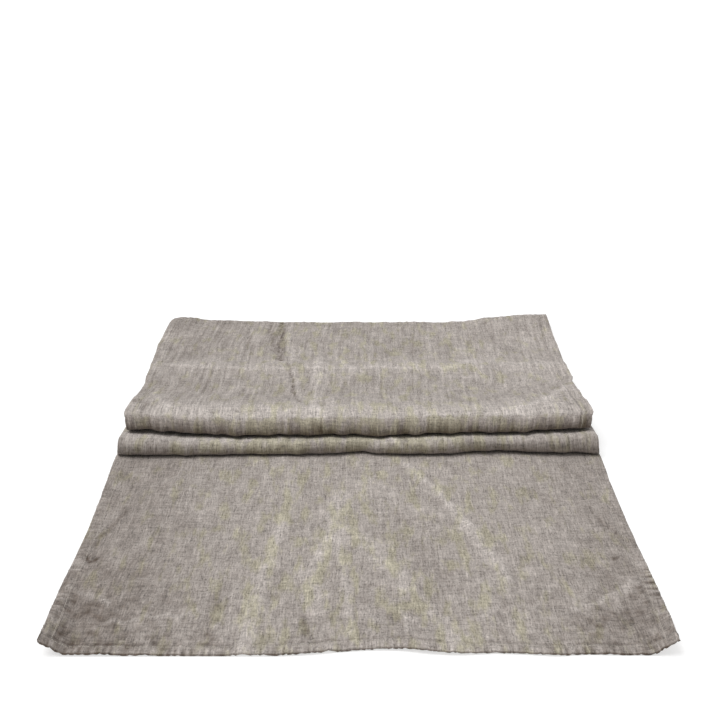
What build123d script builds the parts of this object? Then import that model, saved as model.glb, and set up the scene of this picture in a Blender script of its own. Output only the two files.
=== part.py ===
from build123d import *
import os

# A linen table runner, laid flat with a double pleat across its middle.
# X is the runner's width, +Y runs from its front edge to its back edge and +Z is up.
# The origin is under the middle of the laid runner, on the surface it lies on.
# All sizes are in millimetres.

# The finished cloth
WIDTH = 450.0  # across the runner, hem edge to hem edge
LENGTH = 1500.0  # along the runner, measured along the cloth before it is pleated
LAYER = 0.5  # one layer of washed linen
HEM_LAYERS = 3  # an edge turned under twice
HEM_DEPTH = 11.0  # from the hem's folded edge to its inner fold

# The stitching
THREAD = 0.3  # sewing thread pulled down into the cloth, so it lies flush
THREAD_WIDTH = 0.6
STITCH_INSET = 9.0  # from the hem's folded edge to the stitch line

# Where the pleats lie, measured from the front edge and from the table
FRONT_PANEL = 335.0  # the flat cloth in front of the lower roll
BACK_PANEL_END = 722.0  # the back edge
BIGHT_RADIUS = 1.3  # the two tight turns hidden at the back of the pleats
BIGHT_RISE = 2.8
LOWER_ROLL_RADIUS = 6.0
LOWER_ROLL_BASE = 4.4
LOWER_ROLL_TOP = 16.9
UPPER_ROLL_SETBACK = 7.0  # the upper roll starts this far behind the lower one
UPPER_ROLL_RADIUS = 4.8
UPPER_ROLL_BASE = 18.8
UPPER_ROLL_TOP = 29.4
CREST_SETBACK = 41.0  # the top of the teardrop, behind the lower roll's front
CREST_TOP = 31.0
CREST_RADIUS = 30.0
SHOULDER_SETBACK = 99.0  # where the back panel comes down onto the hidden layers
SHOULDER_TOP = 19.0
SECOND_BIGHT_BASE = 7.4
SECOND_BIGHT_LEAD = 14.0  # the upper hidden turn stops short of the lower one
HUMP_TOP = 13.4  # the back panel where it passes over the hidden turns
RUN_OUT = 45.0  # from the hump back down to the table
BEND_RADIUS = 60.0  # soft bends in the back panel

HEM_THICKNESS = HEM_LAYERS * LAYER
HALF_WIDTH = WIDTH / 2
FLAT_LEVEL = HEM_THICKNESS - LAYER / 2  # the middle of the top layer when the hem is on the table
UPPER_FACE = LAYER / 2
UNDER_FACE = UPPER_FACE - HEM_THICKNESS
FOLDS_ACROSS_TUCKS = 4  # four hidden layers share the length that the pleats take up
FIRST_GUESS = 190.0


def fold_path(tuck, margin):
    """The middle of the cloth's top layer, from margin behind the front edge to margin before the back edge."""
    second_turn = FRONT_PANEL + tuck - SECOND_BIGHT_LEAD
    first_turn = FRONT_PANEL + tuck
    upper_front = FRONT_PANEL + UPPER_ROLL_SETBACK
    corners = [
        (first_turn, FLAT_LEVEL, BIGHT_RADIUS),
        (first_turn, FLAT_LEVEL + BIGHT_RISE, BIGHT_RADIUS),
        (FRONT_PANEL, LOWER_ROLL_BASE, LOWER_ROLL_RADIUS),
        (FRONT_PANEL, LOWER_ROLL_TOP, LOWER_ROLL_RADIUS),
        (second_turn, SECOND_BIGHT_BASE, BIGHT_RADIUS),
        (second_turn, SECOND_BIGHT_BASE + BIGHT_RISE, BIGHT_RADIUS),
        (upper_front, UPPER_ROLL_BASE, UPPER_ROLL_RADIUS),
        (upper_front, UPPER_ROLL_TOP, UPPER_ROLL_RADIUS),
        (FRONT_PANEL + CREST_SETBACK, CREST_TOP, CREST_RADIUS),
        (FRONT_PANEL + SHOULDER_SETBACK, SHOULDER_TOP, BEND_RADIUS),
        (first_turn, HUMP_TOP, BEND_RADIUS),
        (first_turn + RUN_OUT, FLAT_LEVEL, BEND_RADIUS),
    ]
    start = (margin, FLAT_LEVEL)
    end = (BACK_PANEL_END - margin, FLAT_LEVEL)
    points = [start] + [(y, z) for y, z, radius in corners] + [end]
    middle = BACK_PANEL_END / 2
    placed = [Vector(0, y - middle, z) for y, z in points]
    return FilletPolyline(*placed, radius=[radius for y, z, radius in corners])


def tuck_for_length():
    """How deep the tucks are, so that the cloth has its whole finished length."""
    spare = LENGTH - fold_path(FIRST_GUESS, 0.0).length
    return FIRST_GUESS + spare / FOLDS_ACROSS_TUCKS


def strip(path, x_low, x_high, low, high):
    """A band that follows the folds: x_low to x_high across, low to high through the cloth."""
    start = path @ 0
    corners = [
        Vector(x_low, start.Y, start.Z + low),
        Vector(x_high, start.Y, start.Z + low),
        Vector(x_high, start.Y, start.Z + high),
        Vector(x_low, start.Y, start.Z + high),
    ]
    section = Face(Wire.make_polygon(corners, close=True))
    return sweep(section, path=path)


def block(low, high):
    """A straight block between two corners."""
    size = [high[i] - low[i] for i in range(3)]
    centre = [(high[i] + low[i]) / 2 for i in range(3)]
    return Pos(*centre) * Box(*size)


def side_span(side, from_edge, to_edge):
    """The x range of a band near one long edge. side is -1 for the left edge and 1 for the right."""
    ends = [side * (HALF_WIDTH - from_edge), side * (HALF_WIDTH - to_edge)]
    return min(ends), max(ends)


def end_span(side, from_edge, to_edge):
    """The y range of a band near one short edge. side is -1 for the front edge and 1 for the back."""
    half = BACK_PANEL_END / 2
    ends = [side * (half - from_edge), side * (half - to_edge)]
    return min(ends), max(ends)


def linen_panel(tuck):
    """The single layer of cloth inside the hems."""
    inner = HALF_WIDTH - HEM_DEPTH
    return strip(fold_path(tuck, HEM_DEPTH), -inner, inner, -LAYER / 2, UPPER_FACE)


def long_hem(tuck, side):
    """A hem along one long edge, which follows every fold between the two end hems."""
    x_low, x_high = side_span(side, 0.0, HEM_DEPTH)
    return strip(fold_path(tuck, HEM_DEPTH), x_low, x_high, UNDER_FACE, UPPER_FACE)


def end_hem(side):
    """A hem across one end, over the full width, corners included."""
    y_low, y_high = end_span(side, 0.0, HEM_DEPTH)
    return block((-HALF_WIDTH, y_low, 0.0), (HALF_WIDTH, y_high, HEM_THICKNESS))


def thread_depths(is_needle):
    """Where a thread lies through the hem: flush with its upper face or with its underside."""
    if is_needle:
        return UPPER_FACE - THREAD, UPPER_FACE
    return UNDER_FACE, UNDER_FACE + THREAD


def long_thread(tuck, side, is_needle):
    """One run of thread along a long hem, between the two end runs."""
    low, high = thread_depths(is_needle)
    path = fold_path(tuck, STITCH_INSET + THREAD_WIDTH / 2)
    x_low, x_high = side_span(side, STITCH_INSET - THREAD_WIDTH / 2, STITCH_INSET + THREAD_WIDTH / 2)
    return strip(path, x_low, x_high, low, high)


def end_thread(side, is_needle):
    """One run of thread across an end hem, out to the corner where it turns."""
    low, high = thread_depths(is_needle)
    y_low, y_high = end_span(side, STITCH_INSET - THREAD_WIDTH / 2, STITCH_INSET + THREAD_WIDTH / 2)
    reach = HALF_WIDTH - STITCH_INSET + THREAD_WIDTH / 2
    return block((-reach, y_low, FLAT_LEVEL + low), (reach, y_high, FLAT_LEVEL + high))


tuck = tuck_for_length()
print("tuck depth", round(tuck, 2), "mm, cloth length", round(fold_path(tuck, 0.0).length, 2), "mm")

threads = {}
for kind, is_needle in (("needle", True), ("bobbin", False)):
    threads[f"{kind}_thread_front"] = end_thread(-1, is_needle)
    threads[f"{kind}_thread_back"] = end_thread(1, is_needle)
    threads[f"{kind}_thread_left"] = long_thread(tuck, -1, is_needle)
    threads[f"{kind}_thread_right"] = long_thread(tuck, 1, is_needle)

hems = {
    "hem_front": end_hem(-1),
    "hem_back": end_hem(1),
    "hem_left": long_hem(tuck, -1),
    "hem_right": long_hem(tuck, 1),
}
for name, hem in hems.items():
    for thread in threads.values():
        hem = hem - thread
    hems[name] = hem

nodes = {"linen_panel": linen_panel(tuck), **hems, **threads}

os.makedirs("parts", exist_ok=True)
for name, solid in nodes.items():
    export_step(solid, f"parts/{name}.step")
    print(name, round(solid.volume, 1), "mm3")
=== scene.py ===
# %% [markdown]
# # A washed linen table runner, laid with a double pleat
#
# The runner is one length of linen with a narrow hem sewn round it. It lies flat, and across its
# middle it is folded back on itself twice, so that two soft rolls face the front.

# %% Load the frame
import math

import bpy
import numpy as np
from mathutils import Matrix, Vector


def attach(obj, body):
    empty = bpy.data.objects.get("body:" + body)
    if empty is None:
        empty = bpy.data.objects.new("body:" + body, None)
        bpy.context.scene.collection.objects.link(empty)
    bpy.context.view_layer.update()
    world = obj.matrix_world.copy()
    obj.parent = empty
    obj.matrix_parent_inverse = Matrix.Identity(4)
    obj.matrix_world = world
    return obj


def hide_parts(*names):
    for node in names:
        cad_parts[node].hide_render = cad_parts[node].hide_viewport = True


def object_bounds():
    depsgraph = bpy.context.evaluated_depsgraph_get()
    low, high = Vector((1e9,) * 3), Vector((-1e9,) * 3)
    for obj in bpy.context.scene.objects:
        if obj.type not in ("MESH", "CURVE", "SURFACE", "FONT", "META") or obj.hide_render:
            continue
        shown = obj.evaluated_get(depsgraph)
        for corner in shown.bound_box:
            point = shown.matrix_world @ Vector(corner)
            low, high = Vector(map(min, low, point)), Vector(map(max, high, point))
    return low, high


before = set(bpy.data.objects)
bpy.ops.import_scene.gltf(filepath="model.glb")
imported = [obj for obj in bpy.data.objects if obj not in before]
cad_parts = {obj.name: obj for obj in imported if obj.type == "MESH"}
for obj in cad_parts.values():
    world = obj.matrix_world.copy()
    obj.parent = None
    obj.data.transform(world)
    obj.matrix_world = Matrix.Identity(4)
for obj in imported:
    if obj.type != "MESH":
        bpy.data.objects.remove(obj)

cad_low, cad_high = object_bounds()
print("the laid runner is", [round(1000 * (h - l)) for l, h in zip(cad_low, cad_high)], "mm")

# %% [markdown]
# ## Sizes
#
# A maker thinks in millimetres, so every size here is in millimetres and becomes metres only when
# a mesh is made. The laid size comes from the frame. The cloth itself is longer than it looks,
# because four layers of it are hidden in the pleats. Below, u is always a place across the flat
# cloth, from its middle, and v a place along it, from its front edge.

# %% Sizes
MM = 0.001
WIDTH = (cad_high.x - cad_low.x) / MM
LAID = (cad_high.y - cad_low.y) / MM
FRONT_EDGE = cad_low.y / MM
LENGTH = 1500.0  # as it was cut, before it was folded
LAYER = 0.5
HEM_LAYERS = 3
HEM_DEPTH = 11.0
STITCH_INSET = 9.0
STITCH_PITCH = 3.0
HALF = WIDTH / 2
HEM_THICKNESS = LAYER * HEM_LAYERS
print("cloth", WIDTH, "by", LENGTH, "mm, hem", HEM_THICKNESS, "mm thick")

# %% [markdown]
# ## Camera
#
# The camera stands in front of the runner, half a metre up, and looks down at it by about twenty
# degrees. It is placed before anything else, because every shape below is judged from here.

# %% Camera
CAMERA_BACK = 754.0  # from the front edge
CAMERA_UP = 490.0
CAMERA_SIDE = 1.75
CAMERA_TILT = 20.0
CAMERA_TURN = 0.063
CAMERA_LENS = 63.74


def put(name, data):
    """An object that shows this camera, lamp or mesh, put into the scene."""
    made = bpy.data.objects.new(name, data)
    bpy.context.collection.objects.link(made)
    return made


eye_data = bpy.data.cameras.new("eye")
eye_data.lens = CAMERA_LENS
eye_data.sensor_width = 36.0
eye = put("eye", eye_data)
eye.location = (CAMERA_SIDE * MM, (FRONT_EDGE - CAMERA_BACK) * MM, CAMERA_UP * MM)
eye.rotation_euler = (math.radians(90 - CAMERA_TILT), 0, math.radians(CAMERA_TURN))
bpy.context.scene.camera = eye
print("camera", CAMERA_TILT, "degrees down")

# %% [markdown]
# ## How the cloth is laid
#
# Seen from the side, the runner is a single line: flat at the front, under the pleats, round two
# tight hidden turns and two open rolls, and down to the table again at the back. Blender's cloth
# simulation could drop a flat sheet into such a shape, but it gives little say in where a fold
# comes to lie, so the line is drawn. It is drawn at many places across the width, each a little
# different, because no fold is quite straight. A line is a few corners, each with its own radius,
# joined by straight runs.

# %% A smooth change across the width
ACROSS = np.linspace(-HALF, HALF, 181)


def across(*points, softness=5.0):
    """A value that changes softly across the width, through (place, value) points."""
    places, values = zip(*points)
    line = np.interp(ACROSS, places, values)
    gap = ACROSS[1] - ACROSS[0]
    reach = int(3 * softness / gap)
    steps = np.arange(-reach, reach + 1) * gap
    weight = np.exp(-0.5 * (steps / softness) ** 2)
    return np.convolve(np.pad(line, reach, mode="edge"), weight / weight.sum(), mode="valid")


print(len(ACROSS), "places across")

# %% Where the rolls lie
FRONT_PANEL = 335.0
TUCK = 199.8
SECOND_TURN_LEAD = 14.0
TURN_RADIUS = 1.3
TURN_RISE = 2.8
SECOND_TURN_UP = 7.4
FLAT = HEM_THICKNESS - LAYER / 2  # the middle of the cloth's own layer, on the table
BACK_EDGE_UP = 1.5

lower_front = FRONT_PANEL + across(
    (-225, -12), (-205, -13), (-170, -12.5), (-140, -11.5), (-115, -9.5), (-90, -9), (-74, -10.5),
    (-55, -9), (-28, -8.5), (-10, -5), (5, -2.5), (21, -8), (38, -9), (52, -8), (68, -9.5),
    (84, -8.5), (102, -5), (122, -3), (145, -3), (163, -6), (180, -8), (196, -7), (225, -9),
)
lower_base = across(
    (-225, 2.0), (-205, 1.5), (100, 1.5), (128, 2.4), (150, 2.0), (200, 1.5), (225, 2.0),
)
lower_top = 0.9 + across(
    (-225, 18.2), (-187, 17.3), (-171, 15.4), (-155, 14.7), (-139, 13.6), (-107, 13.0), (-75, 13.8),
    (-43, 13.9), (-28, 14.6), (-10, 14.2), (4, 12.9), (20, 12.0), (36, 14.1), (52, 13.6), (68, 14.6),
    (90, 15.2), (116, 16.4), (131, 15.0), (147, 15.4), (163, 16.8), (180, 18.4), (200, 19.0), (225, 20),
)
upper_front = FRONT_PANEL + across(
    (-225, 8), (-180, 5), (-150, 6.5), (-120, 4), (-80, 6), (-40, 4), (0, 7), (30, 5), (60, 7),
    (100, 6), (130, 8), (170, 6), (225, 8),
)
upper_base = lower_top + across((-225, 2.4), (-190, 1.7), (0, 1.3), (190, 1.5), (225, 1.9))
upper_top = upper_base + across((-225, 11.0), (-160, 12.4), (0, 13.5), (160, 12.6), (225, 11.2))
crest_back = FRONT_PANEL + across(
    (-225, 54), (-190, 48), (-150, 42), (0, 41), (150, 42), (190, 50), (225, 60),
)
crest_top = across(
    (-225, 30.5), (-190, 32), (-150, 31.6), (-50, 31.4), (-38, 29.6), (-27, 31.4), (150, 31.6),
    (190, 32.5), (225, 31.5),
)

# A soft fold is never smooth: short uneven ripples run along it, mirrored on the upper roll.
ripple = np.sin(ACROSS / 3.3) * np.sin(ACROSS / 19 + 1.0) + 0.6 * np.sin(ACROSS / 5.6 + 2.0)
lower_front += 0.9 * ripple
upper_front += 1.1 * ripple[::-1]
upper_base += 0.25 * ripple[::-1]
print("lower roll", round(float((lower_top - lower_base).mean()), 1), "mm high")


# %% One line from the front edge to the back edge
def laid_line(column):
    """The named corners of the laid cloth at one place across: how far back, how high, radius."""
    turn = FRONT_PANEL + TUCK
    second = turn - SECOND_TURN_LEAD
    lower, lower_under, lower_up = lower_front[column], lower_base[column], lower_top[column]
    roll = 0.48 * (lower_up - lower_under)
    front, base, top = upper_front[column], upper_base[column], upper_top[column]
    crest, crest_up = crest_back[column], crest_top[column]
    return {
        "front edge": (0.0, FLAT, 0.0),
        "first turn": (turn, FLAT, TURN_RADIUS),
        "first turn top": (turn, FLAT + TURN_RISE, TURN_RADIUS),
        "lower roll underneath": (lower, lower_under, roll),
        "lower roll": (lower, lower_up, roll),
        "second turn": (second, SECOND_TURN_UP, TURN_RADIUS),
        "second turn top": (second, SECOND_TURN_UP + TURN_RISE, TURN_RADIUS),
        "upper roll underneath": (front, base, 4.5),
        "upper roll": (front, base + 5.5, 6.0),
        "upper roll face": (front + 3.0, base + 9.6, 7.0),
        "upper roll brow": (front + 9.0, top - 0.9, 10.0),
        "upper roll top": (front + 21.0, top + 0.8, 14.0),
        "crest": (crest, crest_up, 34.0),
        "behind the crest": (crest + 30.0, crest_up - 5.5, 60.0),
        "shoulder": (crest + 66.0, crest_up - 12.5, 80.0),
        "over the hidden turns": (turn - 28.0, 14.6, 70.0),
        "hump": (turn + 6.0, 14.4, 16.0),
        "down": (turn + 36.0, 7.4, 50.0),
        "on the table": (turn + 80.0, 3.4, 80.0),
        "back edge": (LAID, BACK_EDGE_UP, 0.0),
    }


print("the line has", len(laid_line(0)), "corners")


# %% Arcs at the corners
def rounded(corners, counts):
    """Points along the corners' arcs and straight runs. counts gives how many each has, in turn."""
    places = [np.array(corner[:2]) for corner in corners]
    arcs = [(places[0], places[0])]
    for before, here, after, corner in zip(places, places[1:], places[2:], corners[1:]):
        arrive, leave = here - before, after - here
        room = 0.49 * min(np.linalg.norm(arrive), np.linalg.norm(leave))
        arrive, leave = arrive / np.linalg.norm(arrive), leave / np.linalg.norm(leave)
        turn = math.acos(np.clip(arrive @ leave, -1, 1))
        reach = min(corner[2] * math.tan(turn / 2), room)
        arcs.append((here - arrive * reach, here + leave * reach))
    arcs.append((places[-1], places[-1]))
    points = []
    for k, (start, end) in enumerate(arcs[:-1]):
        if k > 0:
            chord = np.linalg.norm(end - start) / 2
            weight = chord / np.linalg.norm(places[k] - start)  # makes this curve a true arc
            t = np.linspace(0, 1, counts[2 * k - 1], endpoint=False)[:, None]
            leaving, between, arriving = (1 - t) ** 2, 2 * t * (1 - t) * weight, t**2
            blend = leaving * start + between * places[k] + arriving * end
            points.append(blend / (leaving + between + arriving))
        t = np.linspace(0, 1, counts[2 * k], endpoint=False)[:, None]
        points.append(end + (arcs[k + 1][0] - end) * t)
    points.append(places[-1][None])
    return np.concatenate(points)


# %% Lay the whole cloth
SAMPLE = 0.7
GUIDE = 24  # points on each arc and run, to measure them with
centre = len(ACROSS) // 2
names = list(laid_line(centre))
pieces_of_line = 2 * len(names) - 3
guide = rounded(list(laid_line(centre).values()), [GUIDE] * pieces_of_line)
steps = np.linalg.norm(np.diff(guide, axis=0), axis=1).reshape(pieces_of_line, GUIDE)
counts = [max(4, int(length / SAMPLE)) for length in steps.sum(axis=1)]
lines = np.array([rounded(list(laid_line(i).values()), counts) for i in range(len(ACROSS))])
centre_steps = np.linalg.norm(np.diff(lines[centre], axis=0), axis=1)
along = np.concatenate([[0], np.cumsum(centre_steps)])
print("cloth along the middle", round(along[-1], 1), "mm, sampled at", len(along), "places")
along = along * LENGTH / along[-1]
starts = np.concatenate([[0], np.cumsum(counts)])
corner_at = {name: along[starts[max(2 * k - 1, 0)]] for k, name in enumerate(names)}
FIRST_TURN = corner_at["first turn"]
LOWER_ROLL = corner_at["lower roll"]
SECOND_TURN = corner_at["second turn"]
UPPER_ROLL = corner_at["upper roll"]
CREST = corner_at["crest"]
HUMP = corner_at["hump"]
print({name: round(float(place)) for name, place in corner_at.items()})


def laid(u, v):
    """Where the cloth's own layer lies, u across and v along the flat cloth: (back, up)."""
    column = np.clip((u + HALF) / (ACROSS[1] - ACROSS[0]), 0, len(ACROSS) - 1.001)
    row = np.clip(np.interp(v, along, np.arange(len(along))), 0, len(along) - 1.001)
    c, r = column.astype(int), row.astype(int)
    part_c, part_r = (column - c)[..., None], (row - r)[..., None]
    near = lines[c, r] * (1 - part_r) + lines[c, r + 1] * part_r
    far = lines[c + 1, r] * (1 - part_r) + lines[c + 1, r + 1] * part_r
    return near * (1 - part_c) + far * part_c


# %% [markdown]
# ## Wrinkles
#
# Washed linen keeps the marks of its wash: broad soft swellings, and a net of small dry creases.
# A sum of random waves gives the swellings, and the creases are the same waves with their zero
# lines drawn up into sharp crests. The large folds that fan out from the pleats are drawn, one route
# each. Sculpting would do it too, but routes can be read, moved and used again: the same routes
# later make the cloth paler on the raised folds, and darker with painted shade in their hollows.

# %% Random waves and creases
def waves(u, v, long_u, long_v, seed, count=20):
    """Soft random swellings, about long_u by long_v millimetres, between about -1 and 1."""
    draw = np.random.default_rng(seed)
    total = np.zeros_like(u)
    for _ in range(count):
        angle = draw.uniform(0, 2 * math.pi)
        size = draw.uniform(0.6, 1.4)
        turn_u, turn_v = math.cos(angle) * size / long_u, math.sin(angle) * size / long_v
        total += np.cos(2 * math.pi * (turn_u * u + turn_v * v) + draw.uniform(0, 2 * math.pi))
    return total / math.sqrt(count)


def creases(u, v, long_u, long_v, seed):
    """Thin crests along the zero lines of random waves, from 0 to 1."""
    return np.exp(-np.abs(waves(u, v, long_u, long_v, seed)) * 5.0)


def crinkles(u, v):
    """A net of fine crisp crests, as linen has when it dries, from 0 to 1."""
    return np.exp(-np.abs(waves(u, v, 24, 30, 53)) * 8.0)


def rise(x, start, end):
    """0 before start, 1 after end, and smooth between."""
    t = np.clip((x - start) / (end - start), 0, 1)
    return t * t * (3 - 2 * t)


def bell(x, centre, width):
    """1 at the centre, falling softly to 0 on both sides."""
    return np.exp(-(((x - centre) / width) ** 2))


print("halfway up a rise", rise(0.5, 0, 1))


# %% Marks along a route
def mark(u, v, route, width):
    """1 on a route over the cloth, falling softly to 0 beside it and past its ends."""
    nearest = np.full(u.shape, 1e9)
    for (u0, v0), (u1, v1) in zip(route, route[1:]):
        length = math.hypot(u1 - u0, v1 - v0)
        way_u, way_v = (u1 - u0) / length, (v1 - v0) / length
        s = np.clip((u - u0) * way_u + (v - v0) * way_v, 0, length)
        nearest = np.minimum(nearest, np.hypot(u - u0 - s * way_u, v - v0 - s * way_v))
    return bell(nearest, 0, width)


def strayed(u, v):
    """The same places a few millimetres off, so that a straight route wanders as a crease does."""
    return u + 1.3 * waves(u, v, 16, 30, 31), v + 2.4 * waves(u, v, 14, 24, 37)


# %% The large folds in front of the pleats
# A route over the flat cloth (across, along), its width, its height, and how much paler it is; below 0,
# how much darker, with painted shade in its hollow.
FRONT_MARKS = [
    ([(-60, 270), (-63, 215), (-70, 140), (-75, 75), (-78, 8)], 5, 1.4, 0.35),
    ([(-66, 175), (-72, 112)], 4, 0.4, 0.25),
    ([(-75, 98), (-77, 50), (-79, 5)], 8, 0.6, 0.5),
    ([(-14, 248), (-17, 200), (-22, 166)], 9, 1.4, 0.6),
    ([(-24, 160), (-33, 125), (-37, 85), (-36, 58)], 8, 1.0, 0.75),
    ([(-17, 158), (-12, 107), (-7, 50), (-3, 12)], 3.2, 0.8, 0.75),
    ([(-12, 182), (-2, 168), (14, 141), (30, 107), (37, 84)], 10, 1.4, 0.6),
    ([(37, 84), (60, 40), (72, 5)], 9, 0.6, 0.25),
    ([(38, 322), (52, 290), (68, 257), (80, 223), (92, 184)], 4.2, 1.6, 1.0),
    ([(92, 184), (105, 141), (114, 98)], 6, 1.6, 0.85),
    ([(28, 58), (33, 48), (36, 20)], 2.8, 0.8, 1.0),
    ([(6, 276), (24, 244)], 9, 0.6, 0.45),
    ([(98, 100), (95, 36)], 9, 0.5, 0.45),
    ([(64, 36), (65, 4)], 7, 0.4, 0.4),
    ([(-21, 115), (-20, 84)], 5.5, -0.9, -0.45),
    ([(-40, 51), (-35, 16)], 3.8, -1.0, -0.9),
    ([(-68, 82), (-50, 84)], 9, -0.5, -0.3),
    ([(27, 48), (31, 24)], 5, -0.5, -0.4),
    ([(10, 89), (26, 86)], 2.2, -0.5, -0.55),
    ([(13, 208), (36, 196)], 4, -0.6, -0.45),
    ([(36, 176), (54, 134), (70, 84)], 13, -0.8, -0.3),
    ([(56, 128), (63, 96)], 6, -0.3, -0.15),
    ([(105, 76), (101, 16)], 5, -0.5, -0.4),
    ([(-199, 223), (-204, 196), (-211, 169), (-216, 151)], 2.2, -0.8, -0.7),
    ([(197, 223), (206, 192), (213, 158)], 2.2, -0.8, -0.7),
    ([(-205, 216), (-216, 172)], 3.0, 0.5, 0.4),
    ([(-213, 133), (-208, 132)], 4.0, -0.9, -1.2),
    ([(202, 134), (207, 135)], 4.0, -0.9, -1.2),
    ([(-218, 90), (-200, 78), (-186, 69)], 3.4, 1.0, 0.9),
    ([(158, 57), (177, 69), (199, 88), (214, 101)], 3.4, 1.0, 0.85),
    ([(158, 60), (167, 78), (179, 95)], 3.0, 0.6, 0.5),
    ([(-204, 54), (-190, 57)], 11, -0.9, -0.4),
    ([(-206, 20), (-165, 12)], 9, -0.5, -0.3),
    ([(-177, 37), (-171, 36)], 3.0, -0.8, -0.7),
    ([(-198, 36), (-178, 37)], 2.2, -0.4, -0.4),
    ([(-182, 41), (-160, 45), (-121, 53)], 2.4, 0.5, 0.65),
    ([(-163, 22), (-160, 12)], 4, -0.6, -0.6),
    ([(-144, 22), (-142, 12)], 4, -0.6, -0.55),
    ([(-105, 70), (-107, 39), (-101, 12)], 5, -0.8, -0.5),
    ([(-105, 25), (-101, 12)], 4, -0.5, -0.5),
    ([(162, 38), (202, 50)], 13, -0.8, -0.4),
    ([(169, 39), (175, 37)], 3.6, -0.8, -0.6),
    ([(185, 54), (193, 54)], 3.6, -0.7, -0.55),
    ([(178, 120), (194, 108)], 9, -0.4, -0.3),
    ([(-196, 116), (-170, 108)], 9, -0.4, -0.25),
    ([(-172, 204), (-168, 196)], 3.0, -0.4, -0.45),
    ([(-150, 300), (-128, 210)], 14, 0.4, 0.15),
    ([(150, 190), (158, 120)], 16, 0.5, 0.15),
]
print(len(FRONT_MARKS), "folds in front")

# %% The large folds behind the pleats, in the same way
BACK_MARKS = [
    ([(-108, 1492), (-97, 1430), (-86, 1350)], 3.6, -1.0, -0.85),
    ([(-92, 1494), (-88, 1440), (-83, 1352)], 3.8, -0.8, -1.1),
    ([(-82, 1480), (-75, 1393), (-71, 1346)], 3.2, 0.7, 0.9),
    ([(-76, 1325), (-68, 1244), (-59, 1177)], 2.4, -0.9, -1.3),
    ([(-71, 1300), (-55, 1185)], 2.6, 0.5, 0.45),
    ([(-43, 1385), (-44, 1300), (-42, 1146)], 4.2, 1.0, 0.95),
    ([(-41, 1160), (-39, 1132)], 3.6, 0.5, 1.3),
    ([(-219, 1325), (-164, 1308), (-109, 1302), (-56, 1307), (2, 1307), (98, 1307)], 4.5, 0.7, 0.6),
    ([(96, 1310), (135, 1342), (178, 1332)], 16, 0.5, 0.45),
    ([(-222, 1470), (-212, 1345)], 3.0, 0.3, 0.5),
    ([(-181, 1450), (-180, 1395)], 3.0, -0.6, -0.4),
    ([(-130, 1463), (-121, 1400)], 4, -0.5, -0.3),
    ([(-120, 1463), (-108, 1380)], 4, 0.4, 0.4),
    ([(6, 1465), (18, 1420)], 6, -0.4, -0.3),
    ([(-25, 1368), (-12, 1319), (2, 1279)], 4, 0.4, 0.4),
    ([(36, 1455), (38, 1367)], 3.0, -0.5, -0.35),
    ([(63, 1455), (62, 1372)], 3.0, -0.5, -0.4),
    ([(79, 1478), (83, 1413), (82, 1358)], 3.4, 0.5, 0.6),
    ([(152, 1485), (152, 1427)], 3.4, -0.6, -0.45),
    ([(215, 1470), (211, 1413), (208, 1352)], 2.8, -0.6, -0.45),
    ([(191, 1455), (192, 1410)], 5, 0.4, 0.4),
    ([(117, 1440), (121, 1342)], 9, 0.3, 0.35),
    ([(43, 1238), (45, 1231)], 2.6, -0.4, -0.45),
    ([(-7, 1279), (-2, 1250)], 3.0, -0.4, -0.3),
    ([(-216, 1273), (-208, 1293), (-196, 1270), (-194, 1228), (-206, 1226)], 2.6, 0.5, 0.45),
    ([(-208, 1202), (-198, 1170), (-186, 1144)], 4.5, 1.1, 0.7),
    ([(145, 1143), (168, 1149), (190, 1177), (214, 1219)], 5.5, 1.1, 0.8),
    ([(-219, 1162), (-206, 1148)], 7, -0.8, -0.9),
    ([(202, 1158), (217, 1160)], 6, -0.8, -0.75),
]
print(len(BACK_MARKS), "folds behind")

# %% Short folds across the two rolls
ROLL_MARKS = [
    ([(30, LOWER_ROLL + 22), (38, LOWER_ROLL + 3)], 3.4, 0.8, 1.0),
    ([(44, LOWER_ROLL + 16), (46, LOWER_ROLL + 5)], 4.0, -0.6, -0.6),
    ([(-42, UPPER_ROLL + 10), (-37, UPPER_ROLL)], 4.5, -0.8, -0.5),
    ([(-150, UPPER_ROLL + 20), (-147, UPPER_ROLL + 2)], 5.0, -0.5, -0.3),
    ([(88, UPPER_ROLL + 18), (92, UPPER_ROLL + 2)], 5.0, 0.5, 0.3),
    ([(-118, LOWER_ROLL + 18), (-112, LOWER_ROLL + 2)], 5.0, 0.5, 0.35),
    ([(-66, LOWER_ROLL + 18), (-70, LOWER_ROLL + 2)], 5.0, -0.6, -0.4),
]
print(len(ROLL_MARKS), "short folds on the rolls")


# %% The height of every wrinkle
# Height, size across and along in mm, seed, and how much of it the rolls have.
SWELLINGS = [(0.60, 60, 110, 3, 0.0), (0.40, 22, 60, 5, 0.5), (0.18, 9, 26, 7, 1.3)]
CREASES = [(0.45, 34, 90, 11, 0.0), (0.28, 16, 42, 13, 0.6)]
CRINKLE_HEIGHT = 0.60


def free_cloth(u, v):
    """1 where the cloth is open: in front of the pleats, behind them, and on the two rolls."""
    front = 1 - rise(v, FRONT_PANEL - 25, FRONT_PANEL + 5)
    back = rise(v, CREST - 5, CREST + 40)
    lower = rise(v, LOWER_ROLL - 8, LOWER_ROLL) * (1 - rise(v, LOWER_ROLL + 18, LOWER_ROLL + 34))
    upper = rise(v, UPPER_ROLL - 6, UPPER_ROLL + 2) * (1 - back)
    return front, back, lower + upper


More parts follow.
